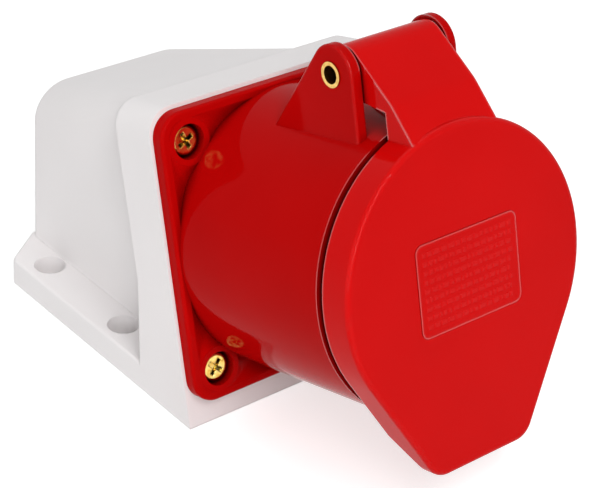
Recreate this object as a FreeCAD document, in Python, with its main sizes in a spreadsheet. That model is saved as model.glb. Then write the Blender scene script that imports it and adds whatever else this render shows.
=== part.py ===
"""Industrial surface-mounted socket outlet, three phases, neutral and earth, with a sprung lid.

World frame: the mounting face is the plane z = 0 and the origin is the centre of the four mounting holes.
+Y points to the cable entry, -Y to the lid, X runs across the object.
Socket frame: x as in the world, y up the tilted front face from the socket's axis, z out along that axis,
with z = 0 on the front rim of the wall box. Pieces that belong to the socket are drawn in this frame.
"""
import FreeCAD, Part
import math
import os
import re

import Sketcher
from FreeCAD import Placement, Rotation, Vector

OUT = "parts"
# Numbers by which a sketch knows the points of its lines and arcs, and its own axes
START, END, CENTRE = range(1, 4)
HORIZONTAL_AXIS, VERTICAL_AXIS = range(-1, -3, -1)
ORIGIN_POINT = (HORIZONTAL_AXIS, START)

# Driving dimensions, in millimetres and degrees
SIZES = {
    # wall box
    "tilt": 15.6,
    "box_width": 76.0,
    "foot_strip": 11.5,
    "box_wall": 2.8,
    "hole_inset": 6.6,
    "hole_pitch_y": 34.4,
    "front_to_hole": 38.2,
    "hole_to_foot_end": 8.4,
    "foot_end_to_back": 8.4,
    "foot_thickness": 7.4,
    "foot_corner": 3.0,
    "mount_hole": 5.0,
    "mount_head_hole": 8.4,
    "mount_web": 2.0,
    "axis_lift": 5.7,
    "collar_rise": 0.3,
    "collar_depth": 14.3,
    "collar_knee": 31.0,
    "collar_lean": 2.4,
    "corner_round": 6.5,
    "roof_step": 1.0,
    "roof_back": 52.6,
    "front_shoulder": 4.0,
    "back_shoulder": 11.0,
    "back_edge_round": 3.0,
    "edge_round": 0.8,
    "boss": 10.6,
    "pilot": 3.2,
    "pilot_depth": 8.0,
    # socket housing
    "flange_inset": 0.8,
    "flange_thickness": 3.6,
    "rim": 2.2,
    "rim_height": 1.4,
    "rim_round": 0.9,
    "screw_inset": 7.9,
    "screw_ring": 11.8,
    "screw_well": 8.7,
    "screw_seat": 0.6,
    "screw_clearance": 4.4,
    "back_boss": 9.2,
    "back_boss_height": 3.0,
    "sleeve_inset": 0.95,
    "sleeve_length": 54.9,
    "sleeve_wall": 4.45,
    "mouth_relief": 0.6,
    "mouth_length": 10.0,
    "mouth_lead": 0.6,
    "lip_inset": 2.55,
    "lip_height": 4.7,
    "ledge": 3.0,
    "ledge_gap": 0.8,
    "keyway_width": 8.0,
    "keyway_depth": 1.1,
    "keyway_end": 8.0,
    "groove_margin": 0.8,
    "groove_width": 1.3,
    "groove_depth": 1.2,
    # hinge
    "pin_rise": 11.65,
    "pin_back": 11.7,
    "pin": 5.2,
    "pin_bore": 4.3,
    "pin_flare": 6.1,
    "pin_flare_height": 0.4,
    "ear_gap": 0.6,
    "ear_thickness": 2.7,
    "ear_round": 6.9,
    "ear_reach": 24.7,
    "ear_sink": 5.25,
    "ear_edge": 0.7,
    # lid
    "lid_inset": 0.25,
    "lid_gap": 1.6,
    "lid_depth": 8.7,
    "lid_plate": 2.4,
    "lid_wall": 1.5,
    "lid_round": 1.3,
    "tip_reach": 10.3,
    "tip_width": 29.0,
    "tip_round": 6.0,
    "tip_depth": 3.0,
    "label_width": 31.0,
    "label_height": 22.4,
    "label_round": 2.0,
    "label_rise": 0.3,
    "arm_width": 25.4,
    "arm_wall": 2.2,
    "arm_root_inset": 2.1,
    "arm_root_back": 0.6,
    "arm_bend_drop": 5.8,
    "arm_bend_back": 6.5,
    "arm_bend_round": 10.5,
    "barrel": 11.7,
    "barrel_lift": 0.3,
    "barrel_shift": 0.9,
    "arm_angle": 46.0,
    "bar_place": 10.0,
    "bar_size": 1.8,
    "pin_clearance": 0.2,
    "seal_inset": 1.7,
    "seal_width": 3.0,
    # contact carrier
    "shroud_gap": 4.6,
    "carrier_wall": 2.3,
    "carrier_recess": 10.6,
    "carrier_plate": 3.5,
    "carrier_flange_reach": 4.1,
    "carrier_flange_thickness": 3.5,
    "contact_inset": 8.0,
    "tower": 14.8,
    "earth_tower": 15.6,
    "centre_post": 8.4,
    "post_pilot": 3.2,
    "lug_reach": 2.3,
    "lug_boss": 4.2,
    "lug_boss_height": 3.0,
    "lug_pilot": 2.5,
    "lug_clearance": 3.2,
    "cover_thickness": 3.2,
    "partition": 1.6,
    "partition_height": 5.0,
    # contacts
    "pin_bore_line": 6.1,
    "pin_bore_earth": 8.1,
    "contact_wall": 1.05,
    "contact_front_gap": 0.6,
    "contact_bore_end": 14.0,
    "collar_thickness": 3.0,
    "collar_step": 1.5,
    "fit_gap": 0.2,
    "terminal": 8.8,
    "earth_terminal": 10.0,
    "terminal_length": 10.0,
    "wire_bore": 5.2,
    "wire_bore_depth": 8.0,
    "slot_width": 0.8,
    "slot_end": 20.0,
    "ring_inset": 11.0,
    "ring_width": 3.0,
    "ring_wall": 0.6,
    "clamp_screw": 3.4,
    "clamp_place": 6.4,
    "clamp_head": 5.4,
    "clamp_head_height": 2.0,
    # screws
    "flange_screw": 3.1,
    "flange_screw_length": 10.0,
    "flange_screw_head": 7.9,
    "flange_screw_head_height": 2.5,
    "recess_span": 4.4,
    "recess_width": 1.1,
    "small_screw": 2.4,
    "small_screw_length": 7.5,
    "small_screw_head": 5.2,
    "small_screw_head_height": 1.8,
    "cover_screw": 3.1,
    "cover_screw_length": 12.0,
    "cover_screw_head": 6.4,
    "cover_screw_head_height": 2.2,
    # spring
    "spring_wire": 0.9,
    "spring_coil": 6.5,
    "spring_gap": 0.35,
    "spring_pitch": 1.15,
    "spring_whole_turns": 5.0,
    "spring_lid_leg": 11.5,
    "spring_rear_angle": 55.0,
    "spring_rear_leg": 16.2,
    # cable entry
    "gland_height": 24.0,
    "gland_socket": 31.0,
    "gland_thread": 24.6,
    "gland_socket_depth": 14.0,
    "gland_lip": 2.0,
    "gland_lip_bore": 19.0,
    "gland_seal_bore": 18.9,
    "gland_seal_length": 6.0,
    "gland_washer": 1.0,
    "gland_bore": 18.6,
    "gland_hex": 27.0,
    "gland_head": 7.5,
}

# Sizes and places that follow from the driving dimensions
FOLLOWING = {
    "axis_height": "box_width / 2 + axis_lift",
    "collar_top": "box_width / 2 + collar_rise",
    "body_width": "box_width - 2 * foot_strip",
    "hole_pitch_x": "box_width - 2 * hole_inset",
    "flange": "box_width - 2 * flange_inset",
    "screw_pitch": "flange - 2 * screw_inset",
    "sleeve": "flange - 2 * sleeve_inset",
    "sleeve_bore": "sleeve - 2 * sleeve_wall",
    "lip": "sleeve - 2 * lip_inset",
    "carrier": "sleeve_bore - 2 * shroud_gap",
    "ledge_bore": "carrier + 2 * ledge_gap",
    "carrier_flange": "carrier + 2 * carrier_flange_reach",
    "lug_circle": "carrier + 2 * lug_reach",
    "pitch_circle": "carrier - 2 * contact_inset",
    "carrier_front": "sleeve_length + lip_height - carrier_recess",
    "ring_place": "carrier_front - ring_inset",
    "lid": "sleeve - 2 * lid_inset",
    "tip_drop": "lid / 2 + tip_reach",
    "seal_ring": "lid - 2 * seal_inset",
    "seal_ring_bore": "seal_ring - 2 * seal_width",
    "pin_up": "sleeve / 2 + pin_rise",
    "pin_out": "sleeve_length - pin_back",
    "ear_span": "arm_width + 2 * (ear_gap + ear_thickness)",
    "ear_root": "pin_out - ear_reach",
    "ear_foot": "sleeve / 2 - ear_sink",
    "arm_root_up": "lid / 2 - arm_root_inset",
    "arm_bend_up": "pin_up - arm_bend_drop",
    "barrel_up": "pin_up + barrel_lift",
    "barrel_out": "pin_out + barrel_shift",
}

doc = FreeCAD.newDocument("surface_socket")
sheet = doc.addObject("Spreadsheet::Sheet", "Sizes")
for row, (alias, number) in enumerate(SIZES.items(), start=1):
    sheet.set("A%d" % row, alias.replace("_", " "))
    sheet.set("B%d" % row, str(number))
    sheet.setAlias("B%d" % row, alias)
doc.recompute()

# Places that follow from the driving dimensions, as expressions on the sheet
FRONT_EDGE = "(front_to_hole + hole_pitch_y / 2)"
FOOT_END = "(hole_pitch_y / 2 + hole_to_foot_end)"
BACK_FACE = "(hole_pitch_y / 2 + hole_to_foot_end + foot_end_to_back)"
LIP_END = "(sleeve_length + lip_height)"
LID_BACK = "(sleeve_length + lid_gap)"
LID_FACE = "(sleeve_length + lid_gap + lid_depth)"
LID_INSIDE = "(sleeve_length + lid_gap + lid_depth - lid_plate)"
WELL_FLOOR = "(-screw_seat)"
COS = "cos(tilt * 1deg)"
SIN = "sin(tilt * 1deg)"
SOCKET_ORIGIN = ("0", "0", "0")


def bound(expression):
    """The expression with each alias written as a cell of the sheet, and what follows from them worked out."""
    def cell(found):
        word = found.group(0)
        if word in FOLLOWING:
            return "(" + bound(FOLLOWING[word]) + ")"
        return "Sizes." + word if word in SIZES else word
    return re.sub(r"[a-z][a-z_]*", cell, expression)


def value(expression):
    """The number that an expression on the sheet has now."""
    return float(sheet.evalExpression(bound(str(expression))))


def bind(thing, path, expression):
    thing.setExpression(path, bound(str(expression)))


# Sketches

def plane(body, role):
    return next(part for part in body.Origin.OriginFeatures if part.Role == role)


def new_sketch(body, name, role="XY_Plane", height="0", tilted=False):
    """A sketch on one of the body's own planes, lifted by height along the plane's normal.

    A tilted one lies on the front face of the wall box, seen as the socket frame's XY plane.
    """
    sketch = body.newObject("Sketcher::SketchObject", name)
    sketch.AttachmentSupport = (plane(body, role), "")
    sketch.MapMode = "FlatFace"
    if tilted:
        sketch.AttachmentOffset = Placement(Vector(0, 0, 0), Rotation(Vector(1, 0, 0), 90))
        bind(sketch, "AttachmentOffset.Rotation.Angle", "90deg - tilt * 1deg")
        bind(sketch, "AttachmentOffset.Base.y", f"axis_height * {SIN} - {FRONT_EDGE} - ({height}) * {COS}")
        bind(sketch, "AttachmentOffset.Base.z", f"axis_height * {COS} + ({height}) * {SIN}")
    elif height != "0":
        bind(sketch, "AttachmentOffset.Base.z", height)
    return sketch


def pin_point(sketch, index, point, x, y):
    """Dimension one point of the sketch from the sketch's origin."""
    for kind, across, coordinate in (("DistanceX", VERTICAL_AXIS, x), ("DistanceY", HORIZONTAL_AXIS, y)):
        if coordinate == "0":
            sketch.addConstraint(Sketcher.Constraint("PointOnObject", index, point, across))
            continue
        rule = Sketcher.Constraint(kind, *ORIGIN_POINT, index, point, value(coordinate))
        bind(sketch, "Constraints[%d]" % sketch.addConstraint(rule), coordinate)


def add_circle(sketch, radius, x="0", y="0"):
    centre = Vector(value(x), value(y), 0)
    index = sketch.addGeometry(Part.Circle(centre, Vector(0, 0, 1), value(radius)))
    pin_point(sketch, index, CENTRE, x, y)
    rule = Sketcher.Constraint("Radius", index, value(radius))
    bind(sketch, "Constraints[%d]" % sketch.addConstraint(rule), radius)


def add_polygon(sketch, corners):
    """A closed outline of straight lines, with every corner dimensioned from the origin."""
    points = [Vector(value(x), value(y), 0) for x, y in corners]
    lines = []
    for start, end in zip(points, points[1:] + points[:1]):
        lines.append(sketch.addGeometry(Part.LineSegment(start, end)))
    for line, following in zip(lines, lines[1:] + lines[:1]):
        sketch.addConstraint(Sketcher.Constraint("Coincident", line, END, following, START))
    for line, (x, y) in zip(lines, corners):
        pin_point(sketch, line, START, x, y)


def add_rectangle(sketch, half_x, half_y, x="0", y="0"):
    left, right = f"{x} - ({half_x})", f"{x} + ({half_x})"
    low, high = f"{y} - ({half_y})", f"{y} + ({half_y})"
    add_polygon(sketch, [(left, low), (right, low), (right, high), (left, high)])


def add_arc(sketch, centre_x, centre_y, radius, start, end):
    """An arc with a dimensioned centre and radius, whose ends are near two angles in degrees."""
    centre = Vector(value(centre_x), value(centre_y), 0)
    circle = Part.Circle(centre, Vector(0, 0, 1), value(radius))
    index = sketch.addGeometry(Part.ArcOfCircle(circle, math.radians(start), math.radians(end)))
    pin_point(sketch, index, CENTRE, centre_x, centre_y)
    rule = Sketcher.Constraint("Radius", index, value(radius))
    bind(sketch, "Constraints[%d]" % sketch.addConstraint(rule), radius)
    return index


def add_line(sketch, start, end):
    return sketch.addGeometry(Part.LineSegment(Vector(*start, 0), Vector(*end, 0)))


def join(sketch, first, first_point, second, second_point, kind="Coincident"):
    sketch.addConstraint(Sketcher.Constraint(kind, first, first_point, second, second_point))


def add_rounded_rectangle(sketch, half_x, half_y, corner):
    """A rectangle round the origin whose corners are arcs tangent to its sides."""
    across, up, size = value(half_x), value(half_y), value(corner)
    inner_x, inner_y = f"({half_x} - ({corner}))", f"({half_y} - ({corner}))"
    quarters = (("", "", 0), ("-", "", 90), ("-", "-", 180), ("", "-", 270))
    arcs = [add_arc(sketch, x + inner_x, y + inner_y, corner, start, start + 90) for x, y, start in quarters]
    ends = [
        ((across - size, up), (size - across, up)),
        ((-across, up - size), (-across, size - up)),
        ((size - across, -up), (across - size, -up)),
        ((across, size - up), (across, up - size)),
    ]
    for number, (start, end) in enumerate(ends):
        line = add_line(sketch, start, end)
        join(sketch, arcs[number], END, line, START, "Tangent")
        join(sketch, line, END, arcs[(number + 1) % 4], START, "Tangent")


def add_arched_outline(sketch, half, base, top, shoulder):
    """A flat base, upright sides and a flat top, with the two upper corners rounded."""
    side, low, high, size = value(half), value(base), value(top), value(shoulder)
    bottom = add_line(sketch, (-side, low), (side, low))
    right = add_line(sketch, (side, low), (side, high - size))
    right_arc = add_arc(sketch, f"{half} - ({shoulder})", f"{top} - ({shoulder})", shoulder, 0, 90)
    roof = add_line(sketch, (side - size, high), (size - side, high))
    left_arc = add_arc(sketch, f"({shoulder}) - ({half})", f"{top} - ({shoulder})", shoulder, 90, 180)
    left = add_line(sketch, (-side, high - size), (-side, low))
    pin_point(sketch, bottom, START, f"-({half})", base)
    pin_point(sketch, right, START, half, base)
    join(sketch, bottom, END, right, START)
    join(sketch, right, END, right_arc, START, "Tangent")
    join(sketch, right_arc, END, roof, START, "Tangent")
    join(sketch, roof, END, left_arc, START, "Tangent")
    join(sketch, left_arc, END, left, START, "Tangent")
    join(sketch, left, END, bottom, START)


# Bodies and their features

NODES = []


def new_body(label, socket_point=None):
    """A body in the world frame, or one turned into the socket frame with its origin at a point of it."""
    body = doc.addObject("PartDesign::Body", label)
    body.Label = label
    if socket_point is not None:
        x, y, z = socket_point
        body.Placement = Placement(Vector(0, 0, 0), Rotation(Vector(1, 0, 0), 90))
        bind(body, "Placement.Rotation.Angle", "90deg - tilt * 1deg")
        bind(body, "Placement.Base.x", x)
        bind(body, "Placement.Base.y", f"(axis_height + {y}) * {SIN} - ({z}) * {COS} - {FRONT_EDGE}")
        bind(body, "Placement.Base.z", f"(axis_height + {y}) * {COS} + ({z}) * {SIN}")
    NODES.append(body)
    return body


def feature(body, kind, name, sketch, length=None, symmetric=False, reverse=False):
    item = body.newObject("PartDesign::" + kind, name)
    item.Profile = sketch
    if length is not None:
        bind(item, "Length", length)
    if symmetric:
        item.SideType = "Symmetric"
    item.Reversed = reverse
    doc.recompute()
    return item


def pad(body, name, sketch, length, symmetric=False, reverse=False):
    return feature(body, "Pad", name, sketch, length, symmetric, reverse)


def pocket(body, name, sketch, length, symmetric=False, reverse=False):
    before = body.Shape.Volume
    item = feature(body, "Pocket", name, sketch, length, symmetric, reverse)
    if body.Shape.Volume > before - 0.01:
        raise RuntimeError(name + " cuts nothing")
    return item


def turn(body, name, corners, role="XZ_Plane", height="0", axis="V_Axis"):
    """A full turn of an outline about one of its sketch's own axes."""
    sketch = new_sketch(body, name + "_outline", role, height)
    add_polygon(sketch, corners)
    item = body.newObject("PartDesign::Revolution", name)
    item.Profile = sketch
    item.ReferenceAxis = (sketch, [axis])
    item.Angle = 360
    doc.recompute()
    return item


def soften(body, name, radius, test, kind="Fillet"):
    """Round or chamfer the edges that pass the test, which gets each edge's middle and the edge."""
    base = body.Tip
    names = []
    for number, edge in enumerate(base.Shape.Edges, start=1):
        middle = edge.valueAt((edge.FirstParameter + edge.LastParameter) / 2)
        if test(middle, edge):
            names.append("Edge%d" % number)
    if not names:
        raise RuntimeError(name + " finds no edge")
    item = body.newObject("PartDesign::" + kind, name)
    item.Base = (base, names)
    bind(item, "Radius" if kind == "Fillet" else "Size", radius)
    doc.recompute()
    if "Invalid" in item.State:
        raise RuntimeError("%s can't round %s" % (name, names))
    return item


def near(first, second, slack=0.02):
    return abs(first - second) < slack


def runs_along(edge, axis):
    """True for a straight edge parallel to the axis."""
    return edge.Curve.TypeId == "Part::GeomLine" and abs(edge.tangentAt(edge.FirstParameter).dot(axis)) > 0.999


X_AXIS, Y_AXIS, Z_AXIS = Vector(1, 0, 0), Vector(0, 1, 0), Vector(0, 0, 1)


def rounded_square(body, name, half_x, half_y, height, length, corner, reverse=False, cut=False):
    """A square pad or pocket with its four upright edges rounded."""
    sketch = new_sketch(body, name + "_outline", height=height)
    add_rectangle(sketch, half_x, half_y)
    (pocket if cut else pad)(body, name, sketch, length, reverse=reverse)
    across, up = value(half_x), value(half_y)

    def at_corner(middle, edge):
        return runs_along(edge, Z_AXIS) and near(abs(middle.x), across) and near(abs(middle.y), up)

    soften(body, name + "_corners", corner, at_corner)


# Wall box

def front_line(depth, rise):
    """World (y, z) of a point that lies depth behind the front face and rise up it from the lower edge."""
    return (f"-{FRONT_EDGE} + ({depth}) * {COS} + ({rise}) * {SIN}", f"({rise}) * {COS} - ({depth}) * {SIN}")


def loft_body(body, name, wall, kind):
    """The narrow body behind the collar, or the room inside it, a wall's thickness in from its faces."""
    depth = f"(collar_depth - box_wall / 2 - {wall})"
    half = f"(body_width / 2 - {wall})"
    front = new_sketch(body, name + "_front", height=f"-{depth}", tilted=True)
    add_arched_outline(front, half, f"({wall} + {depth} * {SIN}) / {COS} - axis_height",
                       f"(collar_top - roof_step - {wall})", f"(front_shoulder - {wall})")
    back = new_sketch(body, name + "_back", "XZ_Plane", f"{wall} - {BACK_FACE}")
    add_arched_outline(back, half, wall, f"(roof_back - {wall})", f"(back_shoulder - {wall})")
    before = body.Shape.Volume
    item = body.newObject("PartDesign::%sLoft" % kind, name)
    item.Profile = front
    item.Sections = [back]
    item.Ruled = True
    doc.recompute()
    if near(body.Shape.Volume, before, 1):
        raise RuntimeError(name + " changes nothing")


def make_wall_box():
    body = new_body("wall_box")
    half = value("box_width / 2")
    top = "(axis_height + collar_top)"

    sketch = new_sketch(body, "collar_side", "YZ_Plane")
    knee_rise = f"((collar_knee + collar_depth * {SIN}) / {COS})"
    knee = front_line("collar_depth", knee_rise)
    add_polygon(sketch, [
        front_line("0", "0"),
        front_line("0", top),
        front_line("collar_depth", top),
        knee,
        (f"{knee[0]} - collar_lean", "0"),
    ])
    pad(body, "collar", sketch, "box_width", symmetric=True)
    slope = Vector(0, math.cos(math.radians(value("tilt"))), -math.sin(math.radians(value("tilt"))))
    soften(body, "collar_corners", "corner_round",
           lambda middle, edge: runs_along(edge, slope) and near(abs(middle.x), half) and middle.z > half)

    # the body's roof falls from a step below the collar's top to the back wall, its shoulders growing rounder
    loft_body(body, "narrow_body", "0", "Additive")
    back = value(BACK_FACE)
    side = value("body_width / 2")
    soften(body, "back_edges", "back_edge_round",
           lambda middle, edge: near(middle.y, back) and middle.z > 1 and near(edge.Vertexes[0].Y, back))

    # foot plate with cut back corners
    sketch = new_sketch(body, "foot_outline")
    add_polygon(sketch, [
        ("-box_width / 2", f"-{FRONT_EDGE} + collar_depth / 3"),
        ("box_width / 2", f"-{FRONT_EDGE} + collar_depth / 3"),
        ("box_width / 2", FOOT_END),
        ("body_width / 2", BACK_FACE),
        ("-body_width / 2", BACK_FACE),
        ("-box_width / 2", FOOT_END),
    ])
    pad(body, "foot", sketch, "foot_thickness")
    foot_end, thickness = value(FOOT_END), value("foot_thickness")
    soften(body, "foot_corners", "foot_corner",
           lambda middle, edge: runs_along(edge, Z_AXIS)
           and near(abs(middle.x), half) and near(middle.y, foot_end))
    soften(body, "foot_edges", "edge_round",
           lambda middle, edge: near(middle.z, thickness) and abs(middle.x) > side + 2
           and middle.y > value(f"-{FRONT_EDGE} + 2 * collar_depth")
           and near(edge.Vertexes[0].Z, thickness) and near(edge.Vertexes[-1].Z, thickness)
           and not near(abs(middle.x), side))

    # hollow, open to the front
    inner = "(box_width / 2 - box_wall)"
    sketch = new_sketch(body, "collar_hollow_outline", tilted=True)
    add_rectangle(sketch, inner, inner)
    pocket(body, "collar_hollow", sketch, "collar_depth - box_wall")
    loft_body(body, "body_hollow", "box_wall", "Subtractive")

    # screw bosses behind the flange corners
    sketch = new_sketch(body, "boss_circles", height="-back_boss_height", tilted=True)
    for x in ("-screw_pitch / 2", "screw_pitch / 2"):
        for y in ("-screw_pitch / 2", "screw_pitch / 2"):
            add_circle(sketch, "boss / 2", x, y)
    pad(body, "bosses", sketch, "collar_depth - box_wall - back_boss_height + 0.5", reverse=True)
    sketch = new_sketch(body, "pilot_circles", height="-back_boss_height", tilted=True)
    for x in ("-screw_pitch / 2", "screw_pitch / 2"):
        for y in ("-screw_pitch / 2", "screw_pitch / 2"):
            add_circle(sketch, "pilot / 2", x, y)
    pocket(body, "pilots", sketch, "pilot_depth")

    # mounting holes with room for the screw heads
    sketch = new_sketch(body, "mount_circles", height="foot_thickness")
    head_sketch = new_sketch(body, "mount_head_circles", height="foot_thickness")
    for x in ("-hole_pitch_x / 2", "hole_pitch_x / 2"):
        for y in ("-hole_pitch_y / 2", "hole_pitch_y / 2"):
            add_circle(sketch, "mount_hole / 2", x, y)
            add_circle(head_sketch, "mount_head_hole / 2", x, y)
    pocket(body, "mount_holes", sketch, "foot_thickness")
    pocket(body, "mount_head_holes", head_sketch, "foot_thickness - mount_web")

    # threaded socket of the cable entry
    sketch = new_sketch(body, "gland_socket_circle", "XZ_Plane", f"-({BACK_FACE} - box_wall / 2)")
    add_circle(sketch, "gland_socket / 2", "0", "gland_height")
    pad(body, "gland_socket_tube", sketch, "gland_socket_depth - box_wall / 2")
    sketch = new_sketch(body, "gland_thread_circle", "XZ_Plane", f"-{BACK_FACE}")
    add_circle(sketch, "gland_thread / 2", "0", "gland_height")
    pocket(body, "gland_thread_bore", sketch, "gland_socket_depth - gland_lip", reverse=True)
    sketch = new_sketch(body, "gland_lip_circle", "XZ_Plane", f"-{BACK_FACE}")
    add_circle(sketch, "gland_lip_bore / 2", "0", "gland_height")
    pocket(body, "gland_lip_hole", sketch, "gland_socket_depth + 1", reverse=True)
    return body


# Socket housing

def make_flange(body):
    half = "(flange / 2)"
    rounded_square(body, "flange_plate", half, half, "0", "flange_thickness", "corner_round")
    inner = "(flange / 2 - rim)"
    rounded_square(body, "flange_recess", inner, inner, "flange_thickness", "rim_height",
                   "corner_round - rim", cut=True)
    rings = new_sketch(body, "screw_ring_circles", height="flange_thickness - rim_height")
    bosses = new_sketch(body, "back_boss_circles")
    wells = new_sketch(body, "screw_well_circles", height="flange_thickness")
    holes = new_sketch(body, "screw_hole_circles")
    for x in ("-screw_pitch / 2", "screw_pitch / 2"):
        for y in ("-screw_pitch / 2", "screw_pitch / 2"):
            add_circle(rings, "screw_ring / 2", x, y)
            add_circle(bosses, "back_boss / 2", x, y)
            add_circle(wells, "screw_well / 2", x, y)
            add_circle(holes, "screw_clearance / 2", x, y)
    pad(body, "screw_rings", rings, "rim_height")
    pad(body, "back_bosses", bosses, "back_boss_height", reverse=True)
    return wells, holes


def make_ears(body):
    """Two ears on the sleeve that carry the hinge pin, rounded about it, with a long slope to the rear."""
    for name, place in (("left", "-ear_span / 2"), ("right", "ear_span / 2 - ear_thickness")):
        sketch = new_sketch(body, name + "_ear_outline", "YZ_Plane", place)
        up, out, radius = value("pin_up"), value("pin_out"), value("ear_round")
        foot, root = value("ear_foot"), value("ear_root")
        front = out + radius
        lean = math.atan2(out - root, up - foot) - math.asin(radius / math.hypot(out - root, up - foot))
        arc = add_arc(sketch, "pin_up", "pin_out", "ear_round", math.degrees(lean) - 90, 90)
        slope = add_line(sketch, (foot, root), (up + radius * math.sin(lean), out - radius * math.cos(lean)))
        back = add_line(sketch, (foot, front), (foot, root))
        face = add_line(sketch, (up, front), (foot, front))
        pin_point(sketch, slope, START, "ear_foot", "ear_root")
        join(sketch, slope, END, arc, START, "Tangent")
        join(sketch, arc, END, face, START, "Tangent")
        join(sketch, face, END, back, START)
        join(sketch, back, END, slope, START)
        sketch.addConstraint(Sketcher.Constraint("Horizontal", face))
        sketch.addConstraint(Sketcher.Constraint("Vertical", back))
        pad(body, name + "_ear", sketch, "ear_thickness")
    outer = value("ear_span / 2")
    meets_sleeve = math.sqrt(value("sleeve / 2") ** 2 - outer ** 2)
    soften(body, "ear_edges", "ear_edge",
           lambda middle, edge: near(abs(middle.x), outer) and middle.y > meets_sleeve + 0.1)
    sketch = new_sketch(body, "ear_hole_circle", "YZ_Plane")
    add_circle(sketch, "pin / 2", "pin_up", "pin_out")
    pocket(body, "ear_holes", sketch, "ear_span + 2", symmetric=True)


def lug_places():
    """Three screw places round the carrier, clear of the keyway at the bottom."""
    radius = "lug_circle / 2"
    return [(f"{radius} * cos({angle}deg)", f"{radius} * sin({angle}deg)") for angle in (90, 210, 330)]


def make_socket_housing():
    body = new_body("socket_housing", SOCKET_ORIGIN)
    wells, holes = make_flange(body)
    sketch = new_sketch(body, "sleeve_circle")
    add_circle(sketch, "sleeve / 2")
    pad(body, "sleeve_tube", sketch, "sleeve_length")
    sketch = new_sketch(body, "lip_circle", height="sleeve_length")
    add_circle(sketch, "lip / 2")
    pad(body, "sleeve_lip", sketch, "lip_height")
    make_ears(body)
    sketch = new_sketch(body, "sleeve_bore_circle", height=LIP_END)
    add_circle(sketch, "sleeve_bore / 2")
    pocket(body, "sleeve_hollow", sketch, f"{LIP_END} - ledge")
    sketch = new_sketch(body, "mouth_circle", height=LIP_END)
    add_circle(sketch, "sleeve_bore / 2 + mouth_relief")
    pocket(body, "mouth", sketch, "mouth_length")
    mouth, rim = value("sleeve_bore / 2 + mouth_relief"), value(LIP_END)
    soften(body, "mouth_lead_in", "mouth_lead", kind="Chamfer",
           test=lambda middle, edge: near(middle.z, rim) and near(math.hypot(middle.x, middle.y), mouth))
    sketch = new_sketch(body, "ledge_bore_circle", height=LIP_END)
    add_circle(sketch, "ledge_bore / 2")
    pocket(body, "ledge_hole", sketch, f"{LIP_END} + 1")
    sketch = new_sketch(body, "keyway_outline", height=LIP_END)
    add_polygon(sketch, [
        ("-keyway_width / 2", "-sleeve_bore / 2 - keyway_depth"),
        ("keyway_width / 2", "-sleeve_bore / 2 - keyway_depth"),
        ("keyway_width / 2", "-sleeve_bore / 2 + 2"),
        ("-keyway_width / 2", "-sleeve_bore / 2 + 2"),
    ])
    pocket(body, "keyway", sketch, f"{LIP_END} - keyway_end")
    bosses = new_sketch(body, "lug_boss_circles", height="ledge - 0.5")
    pilots = new_sketch(body, "lug_pilot_circles")
    for x, y in lug_places():
        add_circle(bosses, "lug_boss / 2", x, y)
        add_circle(pilots, "lug_pilot / 2", x, y)
    pad(body, "lug_bosses", bosses, "lug_boss_height + 0.5")
    pocket(body, "lug_pilots", pilots, "ledge + lug_boss_height - 0.8", reverse=True)
    pocket(body, "screw_wells", wells, "flange_thickness + screw_seat")
    pocket(body, "screw_holes", holes, "back_boss_height + 1")
    make_gasket_groove(body)
    rim_edges(body)
    return body


def groove_outline(body, name):
    """Two nested rounded squares on the flange's back, the outer one a lip's width inside the flange."""
    sketch = new_sketch(body, name)
    for margin in ("groove_margin", "(groove_margin + groove_width)"):
        half = f"(flange / 2 - {margin})"
        add_rounded_rectangle(sketch, half, half, f"corner_round - {margin}")
    return sketch


def make_gasket_groove(body):
    pocket(body, "gasket_groove", groove_outline(body, "gasket_groove_outline"), "groove_depth", reverse=True)


def rim_edges(body):
    """Round the flange's outer front edge."""
    front, half = value("flange_thickness"), value("flange / 2")
    corner = half - value("corner_round")

    def on_outer_edge(middle, edge):
        if not near(middle.z, front) or not near(edge.Vertexes[0].Z, front):
            return False
        across, up = abs(middle.x), abs(middle.y)
        at_corner = math.hypot(across - corner, up - corner)
        return near(max(across, up), half) or (min(across, up) > corner and near(at_corner, half - corner))

    soften(body, "rim_edge", "rim_round", on_outer_edge)


def make_flange_gasket():
    body = new_body("flange_gasket", SOCKET_ORIGIN)
    pad(body, "gasket_ring", groove_outline(body, "gasket_outline"), "groove_depth")
    return body


# Lid

def lid_outline(sketch, wall):
    """The lid's round outline run out in two tangents to a blunt tip, set in by a wall."""
    radius = f"(lid / 2 - ({wall}))"
    drop = f"(tip_drop - ({wall}))"
    side = math.radians(59.4)
    half_tip = f"(tip_width / 2 - ({wall}) * tan({math.degrees(side) / 2}deg))"
    r, d, h = value(radius), value(drop), value(half_tip)
    reach = math.hypot(h, d)
    angle = math.degrees(math.atan2(-d, h) + math.acos(r / reach))
    arc = add_arc(sketch, "0", "0", radius, angle, 180 - angle)
    touch = (r * math.cos(math.radians(angle)), r * math.sin(math.radians(angle)))
    right = add_line(sketch, (h, -d), touch)
    left = add_line(sketch, (-touch[0], touch[1]), (-h, -d))
    tip = add_line(sketch, (-h, -d), (h, -d))
    pin_point(sketch, right, START, half_tip, f"-{drop}")
    pin_point(sketch, tip, START, f"-{half_tip}", f"-{drop}")
    join(sketch, right, END, arc, START, "Tangent")
    join(sketch, arc, END, left, START, "Tangent")
    join(sketch, left, END, tip, START)
    join(sketch, tip, END, right, START)


def along_arm(distance, away, centre="pin"):
    """A point of the arm's side view: distance along the arm from a centre, and away from it outwards."""
    return (f"{centre}_up - ({distance}) * sin(arm_angle * 1deg) + ({away}) * cos(arm_angle * 1deg)",
            f"{centre}_out + ({distance}) * cos(arm_angle * 1deg) + ({away}) * sin(arm_angle * 1deg)")


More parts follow.
